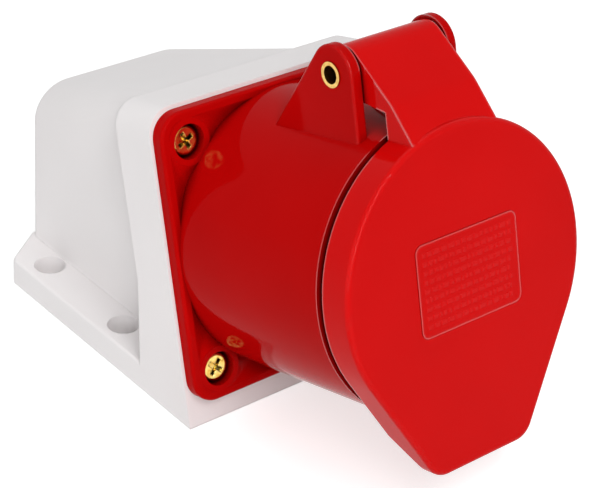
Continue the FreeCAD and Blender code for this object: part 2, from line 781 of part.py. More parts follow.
def make_lid():
    body = new_body("lid", SOCKET_ORIGIN)
    sketch = new_sketch(body, "lid_face_outline", height=LID_FACE)
    lid_outline(sketch, "0")
    pad(body, "lid_shell", sketch, "lid_depth", reverse=True)
    tip = value("-tip_drop")
    soften(body, "tip_corners", "tip_round",
           lambda middle, edge: runs_along(edge, Z_AXIS) and near(middle.y, tip))

    face = value(LID_FACE)
    soften(body, "lid_face_edge", "lid_round",
           lambda middle, edge: near(middle.z, face) and near(edge.Vertexes[0].Z, face))

    # the tip's back is cut on a slant, so its side walls run out towards the tip
    sketch = new_sketch(body, "tip_slant", "YZ_Plane")
    add_polygon(sketch, [
        ("-lid / 2 + 1", f"{LID_BACK} - 1"),
        ("-lid / 2 + 1", LID_BACK),
        ("-tip_drop - 1", f"{LID_FACE} - tip_depth"),
        ("-tip_drop - 1", f"{LID_BACK} - 1"),
    ])
    pocket(body, "tip_back", sketch, "lid + 4", symmetric=True)

    # hinge arm, a channel between the lid and the pin
    sketch = new_sketch(body, "arm_side", "YZ_Plane")
    add_polygon(sketch, [
        ("lid / 2 - 3 * lid_wall", LID_BACK),
        ("lid / 2 - 3 * lid_wall", f"{LID_FACE} - arm_root_back"),
        ("arm_root_up", f"{LID_FACE} - arm_root_back"),
        ("arm_bend_up", f"{LID_FACE} - arm_bend_back"),
        along_arm("0", "barrel / 2", "barrel"),
        ("barrel_up", "barrel_out"),
        ("barrel_up - barrel / 2", "barrel_out"),
        ("barrel_up - barrel / 2 - arm_wall", LID_BACK),
    ])
    pad(body, "arm", sketch, "arm_width", symmetric=True)
    sketch = new_sketch(body, "barrel_circle", "YZ_Plane")
    add_circle(sketch, "barrel / 2", "barrel_up", "barrel_out")
    pad(body, "arm_barrel", sketch, "arm_width", symmetric=True)
    bend_up, bend_out = value("arm_bend_up"), value(f"{LID_FACE} - arm_bend_back")
    soften(body, "arm_bend", "arm_bend_round",
           lambda middle, edge: runs_along(edge, X_AXIS)
           and near(middle.y, bend_up) and near(middle.z, bend_out))

    # inside of the channel
    channel = "arm_width - 2 * arm_wall"
    sketch = new_sketch(body, "channel_side", "YZ_Plane")
    add_polygon(sketch, [
        ("lid / 2", f"{LID_BACK} - 1"),
        ("lid / 2", f"{LID_FACE} - arm_root_back - 2 * arm_wall"),
        ("arm_bend_up - arm_wall * 0.7", f"{LID_FACE} - arm_bend_back - arm_wall"),
        along_arm("0", "barrel / 2 - arm_wall", "barrel"),
        ("barrel_up + (barrel / 2 - arm_wall) * cos(arm_angle * 1deg)", "barrel_out"),
        ("pin_up", "pin_out - barrel"),
        ("pin_up - barrel", "pin_out - barrel"),
        ("pin_up - barrel", f"{LID_BACK} - 1"),
    ])
    pocket(body, "channel", sketch, channel, symmetric=True)
    sketch = new_sketch(body, "spring_room_circle", "YZ_Plane")
    add_circle(sketch, "(spring_coil + spring_wire) / 2 + spring_gap", "pin_up", "pin_out")
    pocket(body, "spring_room", sketch, channel, symmetric=True)
    sketch = new_sketch(body, "pin_hole_circle", "YZ_Plane")
    add_circle(sketch, "pin / 2 + pin_clearance", "pin_up", "pin_out")
    pocket(body, "pin_hole", sketch, "arm_width + 2", symmetric=True)

    # bar across the channel that takes the spring's leg
    sketch = new_sketch(body, "spring_bar_outline", "YZ_Plane")
    near_side, far_side = "(spring_coil - spring_wire) / 2 - bar_size", "(spring_coil - spring_wire) / 2"
    add_polygon(sketch, [
        along_arm("bar_place - bar_size / 2", near_side),
        along_arm("bar_place - bar_size / 2", far_side),
        along_arm("bar_place + bar_size / 2", far_side),
        along_arm("bar_place + bar_size / 2", near_side),
    ])
    pad(body, "spring_bar", sketch, f"{channel} + 1", symmetric=True)

    sketch = new_sketch(body, "lid_hollow_outline", height=LID_INSIDE)
    lid_outline(sketch, "lid_wall")
    pocket(body, "lid_hollow", sketch, "lid_depth + 2")

    # bare raised panel on the face
    sketch = new_sketch(body, "label_outline", height=LID_FACE)
    add_rectangle(sketch, "label_width / 2", "label_height / 2")
    pad(body, "label_panel", sketch, "label_rise")
    wide = value("label_width / 2")
    soften(body, "label_corners", "label_round",
           lambda middle, edge: runs_along(edge, Z_AXIS) and near(abs(middle.x), wide) and middle.z > face)
    return body


def make_lid_gasket():
    body = new_body("lid_gasket", SOCKET_ORIGIN)
    turn(body, "seal_ring_turn", [
        ("seal_ring_bore / 2", LIP_END),
        ("seal_ring / 2", LIP_END),
        ("seal_ring / 2", LID_INSIDE),
        ("seal_ring_bore / 2", LID_INSIDE),
    ])
    return body


# Hinge pin and lid spring

def make_hinge_pin():
    body = new_body("hinge_pin", ("0", "pin_up", "pin_out"))
    half = "ear_span / 2"
    turn(body, "rivet", [
        (f"-{half} - pin_flare_height", "pin_bore / 2"),
        (f"{half} + pin_flare_height", "pin_bore / 2"),
        (f"{half} + pin_flare_height", "pin_flare / 2"),
        (half, "pin_flare / 2"),
        (half, "pin / 2"),
        (f"-{half}", "pin / 2"),
        (f"-{half}", "pin_flare / 2"),
        (f"-{half} - pin_flare_height", "pin_flare / 2"),
    ], role="XY_Plane", axis="H_Axis")
    return body


def make_lid_spring():
    """A coil round the pin with one leg under the lid's bar and one that rests on the sleeve."""
    body = new_body("lid_spring", ("0", "pin_up", "pin_out"))
    turns = "(spring_whole_turns + (arm_angle + spring_rear_angle) / 360)"
    width = f"({turns} * spring_pitch)"

    def wire_section(name, angle, place):
        sketch = new_sketch(body, name, "XY_Plane")
        sketch.AttachmentOffset = Placement(Vector(0, 0, 0), Rotation(Vector(1, 0, 0), 10))
        bind(sketch, "AttachmentOffset.Rotation.Angle", angle)
        add_circle(sketch, "spring_wire / 2", place, "spring_coil / 2")
        return sketch

    section = wire_section("coil_section", "arm_angle * 1deg", f"-{width} / 2")
    coil = body.newObject("PartDesign::AdditiveHelix", "coil")
    coil.Profile = section
    coil.ReferenceAxis = (section, ["H_Axis"])
    coil.Mode = 1
    coil.LeftHanded = True
    bind(coil, "Pitch", "spring_pitch")
    bind(coil, "Turns", turns)
    doc.recompute()
    pad(body, "lid_leg", section, "spring_lid_leg")
    rear = wire_section("rear_leg_section", "360deg - spring_rear_angle * 1deg", f"{width} / 2")
    pad(body, "rear_leg", rear, "spring_rear_leg", reverse=True)
    return body


# Contact carrier and its cover

CONTACTS = {
    "contact_earth": 270,
    "contact_l1": 342,
    "contact_l2": 54,
    "contact_l3": 126,
    "contact_neutral": 198,
}


def contact_place(label):
    angle = CONTACTS[label]
    return (f"pitch_circle / 2 * cos({angle}deg)", f"pitch_circle / 2 * sin({angle}deg)")


def contact_bore(label):
    return "pin_bore_earth" if label == "contact_earth" else "pin_bore_line"


def contact_radius(label):
    """Outer radius of the contact's sleeve."""
    return f"({contact_bore(label)} / 2 + contact_wall)"


def terminal_radius(label):
    return "(earth_terminal / 2)" if label == "contact_earth" else "(terminal / 2)"


def make_contact_carrier():
    body = new_body("contact_carrier", SOCKET_ORIGIN)
    sketch = new_sketch(body, "cup_circle")
    add_circle(sketch, "carrier / 2")
    pad(body, "cup", sketch, "carrier_front")
    sketch = new_sketch(body, "cup_bore_circle")
    add_circle(sketch, "carrier / 2 - carrier_wall")
    pocket(body, "cup_hollow", sketch, "carrier_front - carrier_plate", reverse=True)
    sketch = new_sketch(body, "carrier_flange_circles")
    add_circle(sketch, "carrier_flange / 2")
    add_circle(sketch, "carrier / 2 - carrier_wall")
    pad(body, "carrier_flange", sketch, "carrier_flange_thickness", reverse=True)

    towers = new_sketch(body, "tower_circles")
    add_circle(towers, "centre_post / 2")
    bores = new_sketch(body, "tower_bore_circles")
    seats = new_sketch(body, "collar_seat_circles")
    entries = new_sketch(body, "entry_circles", height="carrier_front")
    for label in CONTACTS:
        x, y = contact_place(label)
        radius = contact_radius(label)
        add_circle(towers, "earth_tower / 2" if label == "contact_earth" else "tower / 2", x, y)
        add_circle(bores, f"{radius} + ring_wall + fit_gap", x, y)
        add_circle(seats, f"{radius} + collar_step + fit_gap", x, y)
        add_circle(entries, f"{contact_bore(label)} / 2 + fit_gap", x, y)
    pad(body, "towers", towers, "carrier_front - carrier_plate / 2")
    pocket(body, "tower_bores", bores, "carrier_front - carrier_plate", reverse=True)
    pocket(body, "collar_seats", seats, "collar_thickness", reverse=True)
    pocket(body, "entry_holes", entries, "carrier_plate + 1")
    sketch = new_sketch(body, "post_pilot_circle")
    add_circle(sketch, "post_pilot / 2")
    pocket(body, "post_pilot_hole", sketch, "cover_screw_length", reverse=True)
    sketch = new_sketch(body, "lug_hole_circles")
    for x, y in lug_places():
        add_circle(sketch, "lug_clearance / 2", x, y)
    pocket(body, "lug_holes", sketch, "carrier_flange_thickness + 1")
    front, radius = value("carrier_front"), value("carrier / 2")
    soften(body, "cup_edge", "edge_round",
           lambda middle, edge: near(middle.z, front) and near(math.hypot(middle.x, middle.y), radius))
    return body


def make_carrier_cover():
    body = new_body("carrier_cover", SOCKET_ORIGIN)
    sketch = new_sketch(body, "cover_circle")
    add_circle(sketch, "carrier / 2 - carrier_wall - fit_gap")
    pad(body, "cover_disc", sketch, "cover_thickness", reverse=True)
    sketch = new_sketch(body, "partition_outlines", height="-cover_thickness")
    inner, outer = "(cover_screw_head / 2 + 1)", "(carrier / 2 - carrier_wall - 4 * fit_gap)"
    for angle in sorted(angle + 36 for angle in CONTACTS.values()):
        across, up = f"cos({angle}deg)", f"sin({angle}deg)"
        corners = []
        for reach, side in ((inner, 1), (inner, -1), (outer, -1), (outer, 1)):
            half = f"{side} * partition / 2"
            corners.append((f"{reach} * {across} - ({half}) * {up}", f"{reach} * {up} + ({half}) * {across}"))
        add_polygon(sketch, corners)
    pad(body, "partitions", sketch, "partition_height", reverse=True)
    sketch = new_sketch(body, "terminal_hole_circles")
    add_circle(sketch, "post_pilot / 2 + fit_gap")
    for label in CONTACTS:
        x, y = contact_place(label)
        add_circle(sketch, f"{terminal_radius(label)} + fit_gap", x, y)
    pocket(body, "terminal_holes", sketch, "cover_thickness + 1")
    return body


# Contacts

CONTACT_FRONT = "(carrier_front - carrier_plate - contact_front_gap)"


def radial_sketch(body, name, angle, distance="0"):
    """A sketch square to the direction at an angle round the socket's axis, at a distance along it."""
    sketch = new_sketch(body, name, "XZ_Plane")
    sketch.AttachmentOffset = Placement(Vector(0, 0, 0), Rotation(Vector(0, 1, 0), 10))
    bind(sketch, "AttachmentOffset.Rotation.Angle", f"{(angle + 90) % 360}deg")
    bind(sketch, "AttachmentOffset.Base.x", f"({distance}) * cos({angle}deg)")
    bind(sketch, "AttachmentOffset.Base.z", f"-({distance}) * sin({angle}deg)")
    return sketch


def make_contact(label):
    x, y = contact_place(label)
    body = new_body(label, (x, y, "0"))
    radius, bore = contact_radius(label), contact_bore(label)
    barrel = terminal_radius(label)
    turn(body, label + "_sleeve", [
        ("0", "-terminal_length"),
        (barrel, "-terminal_length"),
        (barrel, "0"),
        (f"{radius} + collar_step", "0"),
        (f"{radius} + collar_step", "collar_thickness"),
        (radius, "collar_thickness"),
        (radius, CONTACT_FRONT),
        (f"{bore} / 2", CONTACT_FRONT),
        (f"{bore} / 2", "contact_bore_end"),
        ("0", "contact_bore_end"),
    ])
    sketch = new_sketch(body, label + "_wire_circle", height="-terminal_length")
    add_circle(sketch, "wire_bore / 2")
    pocket(body, label + "_wire_bore", sketch, "wire_bore_depth", reverse=True)
    sketch = new_sketch(body, label + "_slot_outline", height=CONTACT_FRONT)
    add_rectangle(sketch, "slot_width / 2", f"{radius} + 1")
    pocket(body, label + "_slot", sketch, f"{CONTACT_FRONT} - slot_end")
    sketch = radial_sketch(body, label + "_clamp_circle", CONTACTS[label])
    add_circle(sketch, "clamp_screw / 2", "0", "-clamp_place")
    pocket(body, label + "_clamp_hole", sketch, "earth_terminal", reverse=True)
    return body


def make_contact_rings():
    body = new_body("contact_rings", SOCKET_ORIGIN)
    sketch = new_sketch(body, "ring_circles", height="ring_place")
    for label in CONTACTS:
        x, y = contact_place(label)
        add_circle(sketch, contact_radius(label), x, y)
        add_circle(sketch, f"{contact_radius(label)} + ring_wall", x, y)
    pad(body, "rings", sketch, "ring_width")
    return body


def make_terminal_screws():
    body = new_body("terminal_screws", SOCKET_ORIGIN)
    for label, angle in CONTACTS.items():
        face = f"pitch_circle / 2 + {terminal_radius(label)} + fit_gap"
        sketch = radial_sketch(body, label + "_shank_circle", angle, face)
        add_circle(sketch, "clamp_screw / 2", "0", "-clamp_place")
        pad(body, label + "_shank", sketch, f"{terminal_radius(label)} - fit_gap", reverse=True)
        sketch = radial_sketch(body, label + "_head_circle", angle, face)
        add_circle(sketch, "clamp_head / 2", "0", "-clamp_place")
        pad(body, label + "_head", sketch, "clamp_head_height")
        sketch = radial_sketch(body, label + "_drive_outline", angle, f"{face} + clamp_head_height")
        add_rectangle(sketch, "clamp_head / 2 + 1", "recess_width / 2", y="-clamp_place")
        pocket(body, label + "_drive", sketch, "recess_width")
    return body


# Screws along the socket's axis

def cross(sketch, x, y, angle):
    """The outline of a cross recess, turned by an angle in degrees."""
    arm, half = "recess_span / 2", "recess_width / 2"
    corners = []
    for quarter in range(4):
        for along, side in ((arm, f"-{half}"), (arm, half), (half, half)):
            across, up = f"cos({angle + 90 * quarter}deg)", f"sin({angle + 90 * quarter}deg)"
            corners.append((f"{x} + {along} * {across} - ({side}) * {up}",
                            f"{y} + {along} * {up} + ({side}) * {across}"))
    add_polygon(sketch, corners)


def make_screws(label, places, seat, size, forward, angles):
    """Pan head screws along the socket's axis; forward ones have their heads outwards from the seat."""
    body = new_body(label, SOCKET_ORIGIN)
    top = f"({seat}) {'+' if forward else '-'} {size}_head_height"
    heads = new_sketch(body, label + "_head_circles", height=seat)
    shanks = new_sketch(body, label + "_shank_circles", height=seat)
    drives = new_sketch(body, label + "_drive_outlines", height=top)
    for (x, y), angle in zip(places, angles):
        add_circle(heads, f"{size}_head / 2", x, y)
        add_circle(shanks, f"{size} / 2", x, y)
        cross(drives, x, y, angle)
    pad(body, label + "_heads", heads, size + "_head_height", reverse=not forward)
    summit = value(top)
    soften(body, label + "_head_edges", f"{size}_head_height * 0.45",
           lambda middle, edge: near(middle.z, summit))
    pad(body, label + "_shanks", shanks, size + "_length", reverse=forward)
    pocket(body, label + "_drives", drives, f"{size}_head_height * 0.64", reverse=not forward)
    return body


def make_flange_screws():
    half = "screw_pitch / 2"
    places = [(f"-{half}", half), (half, half), (half, f"-{half}"), (f"-{half}", f"-{half}")]
    make_screws("flange_screws", places, WELL_FLOOR, "flange_screw", True, (25, 70, 12, 50))


def make_carrier_screws():
    make_screws("carrier_screws", lug_places(), "-carrier_flange_thickness", "small_screw", False, (10, 40, 75))


def make_cover_screw():
    make_screws("cover_screw", [("0", "0")], "-cover_thickness", "cover_screw", False, (30,))


# Cable entry

GLAND_SEAT = f"({BACK_FACE} - gland_socket_depth + gland_lip)"


def make_gland_ring(label, bore, outside, start, end):
    body = new_body(label)
    turn(body, label + "_turn", [(bore, start), (outside, start), (outside, end), (bore, end)],
         role="XY_Plane", height="gland_height")
    return body


def make_gland_seal():
    make_gland_ring("gland_seal", "gland_seal_bore / 2", "gland_thread / 2 - fit_gap",
                    GLAND_SEAT, f"{GLAND_SEAT} + gland_seal_length")


def make_gland_washer():
    start = f"{GLAND_SEAT} + gland_seal_length"
    make_gland_ring("gland_washer", "gland_bore / 2", "gland_thread / 2 - 1.5 * fit_gap",
                    start, f"{start} + gland_washer")


def make_gland_nut():
    body = new_body("gland_nut")
    start = f"({GLAND_SEAT} + gland_seal_length + gland_washer)"
    head = f"({BACK_FACE} + 0.4)"
    turn(body, "gland_nut_thread", [
        ("gland_bore / 2", start),
        ("gland_thread / 2 - fit_gap", start),
        ("gland_thread / 2 - fit_gap", f"{head} + 1"),
        ("gland_bore / 2", f"{head} + 1"),
    ], role="XY_Plane", height="gland_height")
    sketch = new_sketch(body, "gland_hex_outline", "XZ_Plane", f"-{head}")
    corner = "gland_hex / 2 / cos(30deg)"
    add_polygon(sketch, [
        (f"{corner} * cos({angle}deg)", f"gland_height + {corner} * sin({angle}deg)")
        for angle in (30, 90, 150, 210, 270, 330)
    ])
    pad(body, "gland_nut_head", sketch, "gland_head", reverse=True)
    sketch = new_sketch(body, "gland_nut_bore_circle", "XZ_Plane", f"-{start}")
    add_circle(sketch, "gland_bore / 2", "0", "gland_height")
    pocket(body, "gland_nut_bore", sketch, "gland_socket_depth + gland_head")
    return body


def make_contacts():
    for label in CONTACTS:
        make_contact(label)


for made in (
    make_wall_box,
    make_flange_gasket,
    make_socket_housing,
    make_flange_screws,
    make_contact_carrier,
    make_carrier_cover,
    make_contacts,
    make_contact_rings,
    make_terminal_screws,
    make_carrier_screws,
    make_cover_screw,
    make_lid,
    make_lid_gasket,
    make_hinge_pin,
    make_lid_spring,
    make_gland_seal,
    make_gland_washer,
    make_gland_nut,
):
    made()


def check(objects):
    for item in doc.Objects:
        if "Invalid" in item.State or "Error" in item.State:
            raise RuntimeError(item.Name + " failed: " + str(item.State))
    for node in objects:
        if node.Shape.isNull() or not node.Shape.isValid():
            raise RuntimeError(node.Label + " has no valid shape")


doc.recompute()
check(NODES)
os.makedirs(OUT, exist_ok=True)
for node in NODES:
    node.Shape.exportStep(os.path.join(OUT, node.Label + ".step"))
    print(node.Label, len(node.Shape.Solids), round(node.Shape.Volume / 1000, 2), "cm3")
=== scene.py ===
import math
import random

import bmesh
import bpy
from mathutils import Matrix, Vector


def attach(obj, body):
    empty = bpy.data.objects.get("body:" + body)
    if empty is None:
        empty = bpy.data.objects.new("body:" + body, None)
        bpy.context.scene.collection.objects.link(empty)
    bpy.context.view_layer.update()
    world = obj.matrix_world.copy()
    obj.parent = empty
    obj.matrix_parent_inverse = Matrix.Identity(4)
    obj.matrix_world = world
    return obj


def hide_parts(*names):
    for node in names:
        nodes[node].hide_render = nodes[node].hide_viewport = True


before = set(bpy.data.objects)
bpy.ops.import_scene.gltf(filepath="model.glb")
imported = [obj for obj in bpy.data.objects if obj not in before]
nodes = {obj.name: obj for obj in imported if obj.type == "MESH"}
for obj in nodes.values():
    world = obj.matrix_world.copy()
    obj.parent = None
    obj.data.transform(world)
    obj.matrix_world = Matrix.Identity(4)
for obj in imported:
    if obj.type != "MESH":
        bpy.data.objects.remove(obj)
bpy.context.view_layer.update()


# The socket's own axes: X across, UP along the tilted flange, OUT along the sleeve

MM = 0.001
TILT = math.radians(15.6)
UP = Vector((0, math.sin(TILT), math.cos(TILT)))
OUT = Vector((0, -math.cos(TILT), math.sin(TILT)))
FLANGE_FOOT_Y = -55.4
SLEEVE_AXIS_UP = 43.7
SOCKET = Vector((0, FLANGE_FOOT_Y, 0)) * MM + SLEEVE_AXIS_UP * MM * UP


def socket_point(x, v, s):
    """World place of a point given in the socket's own axes, in millimetres."""
    return SOCKET + Vector((x, 0, 0)) * MM + UP * v * MM + OUT * s * MM


def direction(azimuth, elevation):
    """Unit vector towards an azimuth from the front and an elevation, in degrees."""
    turn, rise = math.radians(azimuth), math.radians(elevation)
    return Vector((math.sin(turn) * math.cos(rise), -math.cos(turn) * math.cos(rise), math.sin(rise)))


def aim_matrix(back, up_hint):
    """Rotation whose Z axis is back and whose Y axis is as near as possible to the hint."""
    z = Vector(back).normalized()
    x = Vector(up_hint).cross(z).normalized()
    return Matrix((x, z.cross(x), z)).transposed().to_4x4()


def add_object(name, data):
    """A new object in the scene that shows the data."""
    added = bpy.data.objects.new(name, data)
    bpy.context.scene.collection.objects.link(added)
    return added


# Camera, fitted to the photo

CAMERA_PLACE = (-0.28564, -0.36856, 0.30215)
CAMERA_AZIMUTH = -41.73
CAMERA_ELEVATION = 31.67
CAMERA_ROLL = 4.38
SENSOR_WIDTH = 36
LENS = 120.6
NEAREST_SEEN = 0.01


def make_camera():
    data = bpy.data.cameras.new("camera")
    data.sensor_width = SENSOR_WIDTH
    data.lens = LENS
    data.clip_start = NEAREST_SEEN
    camera = add_object("camera", data)
    roll = Matrix.Rotation(math.radians(CAMERA_ROLL), 4, "Z")
    turn = aim_matrix(direction(CAMERA_AZIMUTH, CAMERA_ELEVATION), (0, 0, 1)) @ roll
    camera.matrix_world = Matrix.Translation(CAMERA_PLACE) @ turn
    bpy.context.scene.camera = camera


make_camera()


# Materials, with lengths in millimetres

AO_SAMPLES = 8
BEVEL_SAMPLES = 4
# Openness over which the painted shade in wells fades from its darkest to none
SHADE_START, SHADE_END = 0.2, 0.75
DULL_START, DULL_END = 0.25, 0.7
DULL_ROUGHNESS = 0.6
EDGE_START, EDGE_END = 0.6, 0.92


class Nodes:
    """A material's node tree with short calls for adding and linking nodes."""

    def __init__(self, name):
        self.material = bpy.data.materials.new(name)
        self.material.use_nodes = True
        self.tree = self.material.node_tree
        self.shader = self.tree.nodes["Principled BSDF"]
        self.place = self.add("ShaderNodeTexCoord").outputs["Object"]

    def add(self, kind, **values):
        """A node whose settings and sockets have the given values."""
        node = self.tree.nodes.new(kind)
        for key, number in values.items():
            if hasattr(node, key):
                setattr(node, key, number)
            else:
                node.inputs[key.replace("_", " ")].default_value = number
        return node

    def link(self, source, target):
        self.tree.links.new(source, target)

    def noise(self, scale, detail=3.0, roughness=0.55):
        node = self.add("ShaderNodeTexNoise", Scale=scale, Detail=detail, Roughness=roughness)
        self.link(self.place, node.inputs["Vector"])
        return node.outputs["Fac"]

    def ramp(self, source, stops):
        """A colour that follows a 0 to 1 value through stops of (place, colour)."""
        node = self.add("ShaderNodeValToRGB")
        band = node.color_ramp
        while len(band.elements) < len(stops):
            band.elements.new(0.5)
        for element, (place, colour) in zip(band.elements, stops):
            element.position = place
            element.color = (*colour, 1)
        self.link(source, node.inputs["Fac"])
        return node.outputs["Color"]

    def span(self, source, low, high, start=0.0, end=1.0):
        """A value that goes from low to high while its source goes from start to end."""
        node = self.add("ShaderNodeMapRange", From_Min=start, From_Max=end, To_Min=low, To_Max=high)
        self.link(source, node.inputs["Value"])
        return node.outputs["Result"]

    def openness(self, reach, **settings):
        """One on open faces, falling where something stands within the reach."""
        node = self.add("ShaderNodeAmbientOcclusion", samples=AO_SAMPLES, Distance=reach * MM, **settings)
        return node.outputs["AO"]

    def with_painted_shade(self, colour, reach, least):
        """A colour with painted shade: it falls to the least share of itself in wells and narrow gaps,
        where shade falls.
        """
        share = self.span(self.openness(reach), least, 1.0, SHADE_START, SHADE_END)
        tint = self.add("ShaderNodeVectorMath", operation="SCALE")
        self.link(colour, tint.inputs[0])
        self.link(share, tint.inputs["Scale"])
        return tint.outputs["Vector"]

    def duller(self, roughness, reach):
        """A roughness that grows in wells and narrow gaps."""
        inner = self.span(self.openness(reach), DULL_ROUGHNESS, 0.0, DULL_START, DULL_END)
        most = self.add("ShaderNodeMath", operation="MAXIMUM")
        self.link(roughness, most.inputs[0])
        self.link(inner, most.inputs[1])
        return most.outputs["Value"]

    def near_edge(self, reach):
        """One along outer edges, zero on the faces between them."""
        inside = self.openness(reach, inside=True, only_local=True)
        return self.span(inside, 1.0, 0.0, EDGE_START, EDGE_END)

    def ahead_of(self, s):
        """One further out than s along the socket's axis, zero behind it."""
        along = self.add("ShaderNodeVectorMath", operation="DOT_PRODUCT")
        self.link(self.place, along.inputs[0])
        along.inputs[1].default_value = OUT
        start = SOCKET.dot(OUT) + s * MM
        return self.span(along.outputs["Value"], 0.0, 1.0, start, start + MM)

    def finish(self, colour, roughness, bumps=(), edge=0.0, metallic=0.0, **fixed):
        """Links the shader's inputs, rounds edges and lays the bumps over each other."""
        self.link(colour, self.shader.inputs["Base Color"])
        self.link(roughness, self.shader.inputs["Roughness"])
        self.shader.inputs["Metallic"].default_value = metallic
        for key, number in fixed.items():
            self.shader.inputs[key.replace("_", " ")].default_value = number
        normal = None
        if edge:
            normal = self.add("ShaderNodeBevel", samples=BEVEL_SAMPLES, Radius=edge * MM).outputs["Normal"]
        for height, distance in bumps:
            bump = self.add("ShaderNodeBump", Strength=1.0, Distance=distance * MM)
            self.link(height, bump.inputs["Height"])
            if normal is not None:
                self.link(normal, bump.inputs["Normal"])
            normal = bump.outputs["Normal"]
        if normal is not None:
            self.link(normal, self.shader.inputs["Normal"])
        return self.material


RUBBED_FROM = 8.0  # how far ahead of the flange's back edges begin to shine
RUBBED_IOR = 1.9
RUBBED_ROUGHNESS = 0.06
FLOW_WAVE = 0.06


def moulded(name, dark, light, rough, grain, edge=0.3, gloss=0.5, hollow=0.0, rubbed=0.0):
    """Moulded plastic with slow colour drift, a fine grain and slight flow marks.

    Within the reach called hollow, wells and gaps get painted shade in their colour and turn duller.
    Within the one called rubbed, outer edges ahead of the flange shine.
    """
    made = Nodes(name)
    drift = made.noise(scale=22, detail=2)
    colour = made.ramp(drift, [(0.3, dark), (0.7, light)])
    flow = made.noise(scale=60, detail=4)
    roughness = made.span(flow, *rough)
    if hollow:
        # painted shade: the colour darkens in wells and gaps, where shade falls
        colour = made.with_painted_shade(colour, hollow, least=0.15)
        roughness = made.duller(roughness, hollow)
    if rubbed:
        share = made.add("ShaderNodeMath", operation="MULTIPLY")
        made.link(made.near_edge(rubbed), share.inputs[0])
        made.link(made.ahead_of(RUBBED_FROM), share.inputs[1])
        made.link(share.outputs["Value"], made.shader.inputs["Coat Weight"])
    fine = made.noise(scale=2600, detail=2)
    wave = made.noise(scale=55, detail=1)
    return made.finish(colour, roughness, [(fine, grain), (wave, FLOW_WAVE)], edge,
                       Specular_IOR_Level=gloss, Coat_IOR=RUBBED_IOR, Coat_Roughness=RUBBED_ROUGHNESS)


def metal(name, stops, rough, scale=900, grain=0.004, edge=0.12, hollow=0.0):
    """Metal with stains of plating and fine drawn or turned marks."""
    made = Nodes(name)
    stain = made.noise(scale, detail=4, roughness=0.65)
    colour = made.ramp(stain, stops)
    # painted shade: the colour turns nearly black in recesses such as a screw's cross and the pin's bore
    if hollow:
        colour = made.with_painted_shade(colour, hollow, least=0.03)
    wear = made.noise(scale * 0.6, detail=3)
    roughness = made.span(wear, *rough)
    marks = made.noise(scale=9000, detail=2)
    return made.finish(colour, roughness, [(marks, grain)], edge, metallic=1.0)


def rubber(name, tone):
    """Dull rubber, a little bluer where it is paler."""
    made = Nodes(name)
    dust = made.noise(scale=300, detail=3)
    colour = made.ramp(dust, [(0.3, (tone, tone, tone)), (0.8, (tone * 2, tone * 2, tone * 2.1))])
    wear = made.noise(scale=90, detail=3)
    roughness = made.span(wear, 0.55, 0.8)
    pores = made.noise(scale=5000, detail=2)
    return made.finish(colour, roughness, [(pores, 0.02)], edge=0.2)


# The housing and its dishes take a darker copy of the lid's red, as painted shade on sides that face away
# from the light; hollow adds painted shade in wells and gaps.
RED_BODY = moulded("red_body", dark=(0.45, 0.001, 0.001), light=(0.51, 0.002, 0.002), rough=(0.05, 0.09),
                   grain=0.0003, gloss=0.015, hollow=6, rubbed=0.5)
RED_DISH = moulded("red_dish", dark=(0.45, 0.001, 0.001), light=(0.51, 0.002, 0.002), rough=(0.05, 0.09),
                   grain=0.0003, edge=0, gloss=0.015, hollow=6)
RED_PANEL = moulded("red_panel", dark=(0.60, 0.003, 0.003), light=(0.66, 0.005, 0.005), rough=(0.14, 0.2),
                    grain=0.001, edge=0.1, gloss=0.09)
RED_LID = moulded("red_lid", dark=(0.59, 0.002, 0.002), light=(0.65, 0.003, 0.003), rough=(0.05, 0.09),
                  grain=0.0003, gloss=0.04, hollow=5, rubbed=0.6)
WHITE = moulded("white_box", dark=(0.86, 0.83, 0.83), light=(0.90, 0.87, 0.87), rough=(0.38, 0.50),
                grain=0.022, edge=0.5)
BLACK_INSERT = moulded("insert_plastic", dark=(0.012, 0.012, 0.013), light=(0.02, 0.02, 0.022),
                       rough=(0.3, 0.42), grain=0.006, gloss=0.25)
GREY_COVER = moulded("cover_plastic", dark=(0.22, 0.22, 0.23), light=(0.28, 0.28, 0.29), rough=(0.4, 0.55),
                     grain=0.012)
GREY_GLAND = moulded("gland_plastic", dark=(0.42, 0.42, 0.42), light=(0.48, 0.48, 0.48), rough=(0.4, 0.5),
                     grain=0.012)
WASHER = moulded("washer_plastic", dark=(0.66, 0.65, 0.62), light=(0.72, 0.71, 0.69), rough=(0.4, 0.5),
                 grain=0.012)
BLACK_RUBBER = rubber("seal_rubber", tone=0.012)
# hollow on the screws and the pin: painted shade in the cross recesses and the bore
YELLOW_ZINC = metal("yellow_zinc", [
    (0.25, (0.20, 0.07, 0.02)),
    (0.42, (0.80, 0.50, 0.10)),
    (0.62, (0.95, 0.76, 0.26)),
    (0.80, (0.50, 0.52, 0.14)),
], rough=(0.06, 0.16), scale=420, grain=0.006, edge=0.6, hollow=1.6)
PIN_BRASS = metal("pin_brass", [(0.3, (0.62, 0.36, 0.09)), (0.7, (0.86, 0.60, 0.20))], rough=(0.14, 0.26),
                  hollow=3)
CONTACT_BRASS = metal("contact_brass", [(0.3, (0.76, 0.52, 0.20)), (0.7, (0.88, 0.68, 0.32))],
                      rough=(0.2, 0.34))
STEEL = metal("plated_steel", [(0.3, (0.55, 0.55, 0.54)), (0.7, (0.72, 0.72, 0.71))], rough=(0.2, 0.35))
SPRING = metal("spring_steel", [(0.3, (0.40, 0.40, 0.41)), (0.7, (0.62, 0.62, 0.62))], rough=(0.22, 0.36))

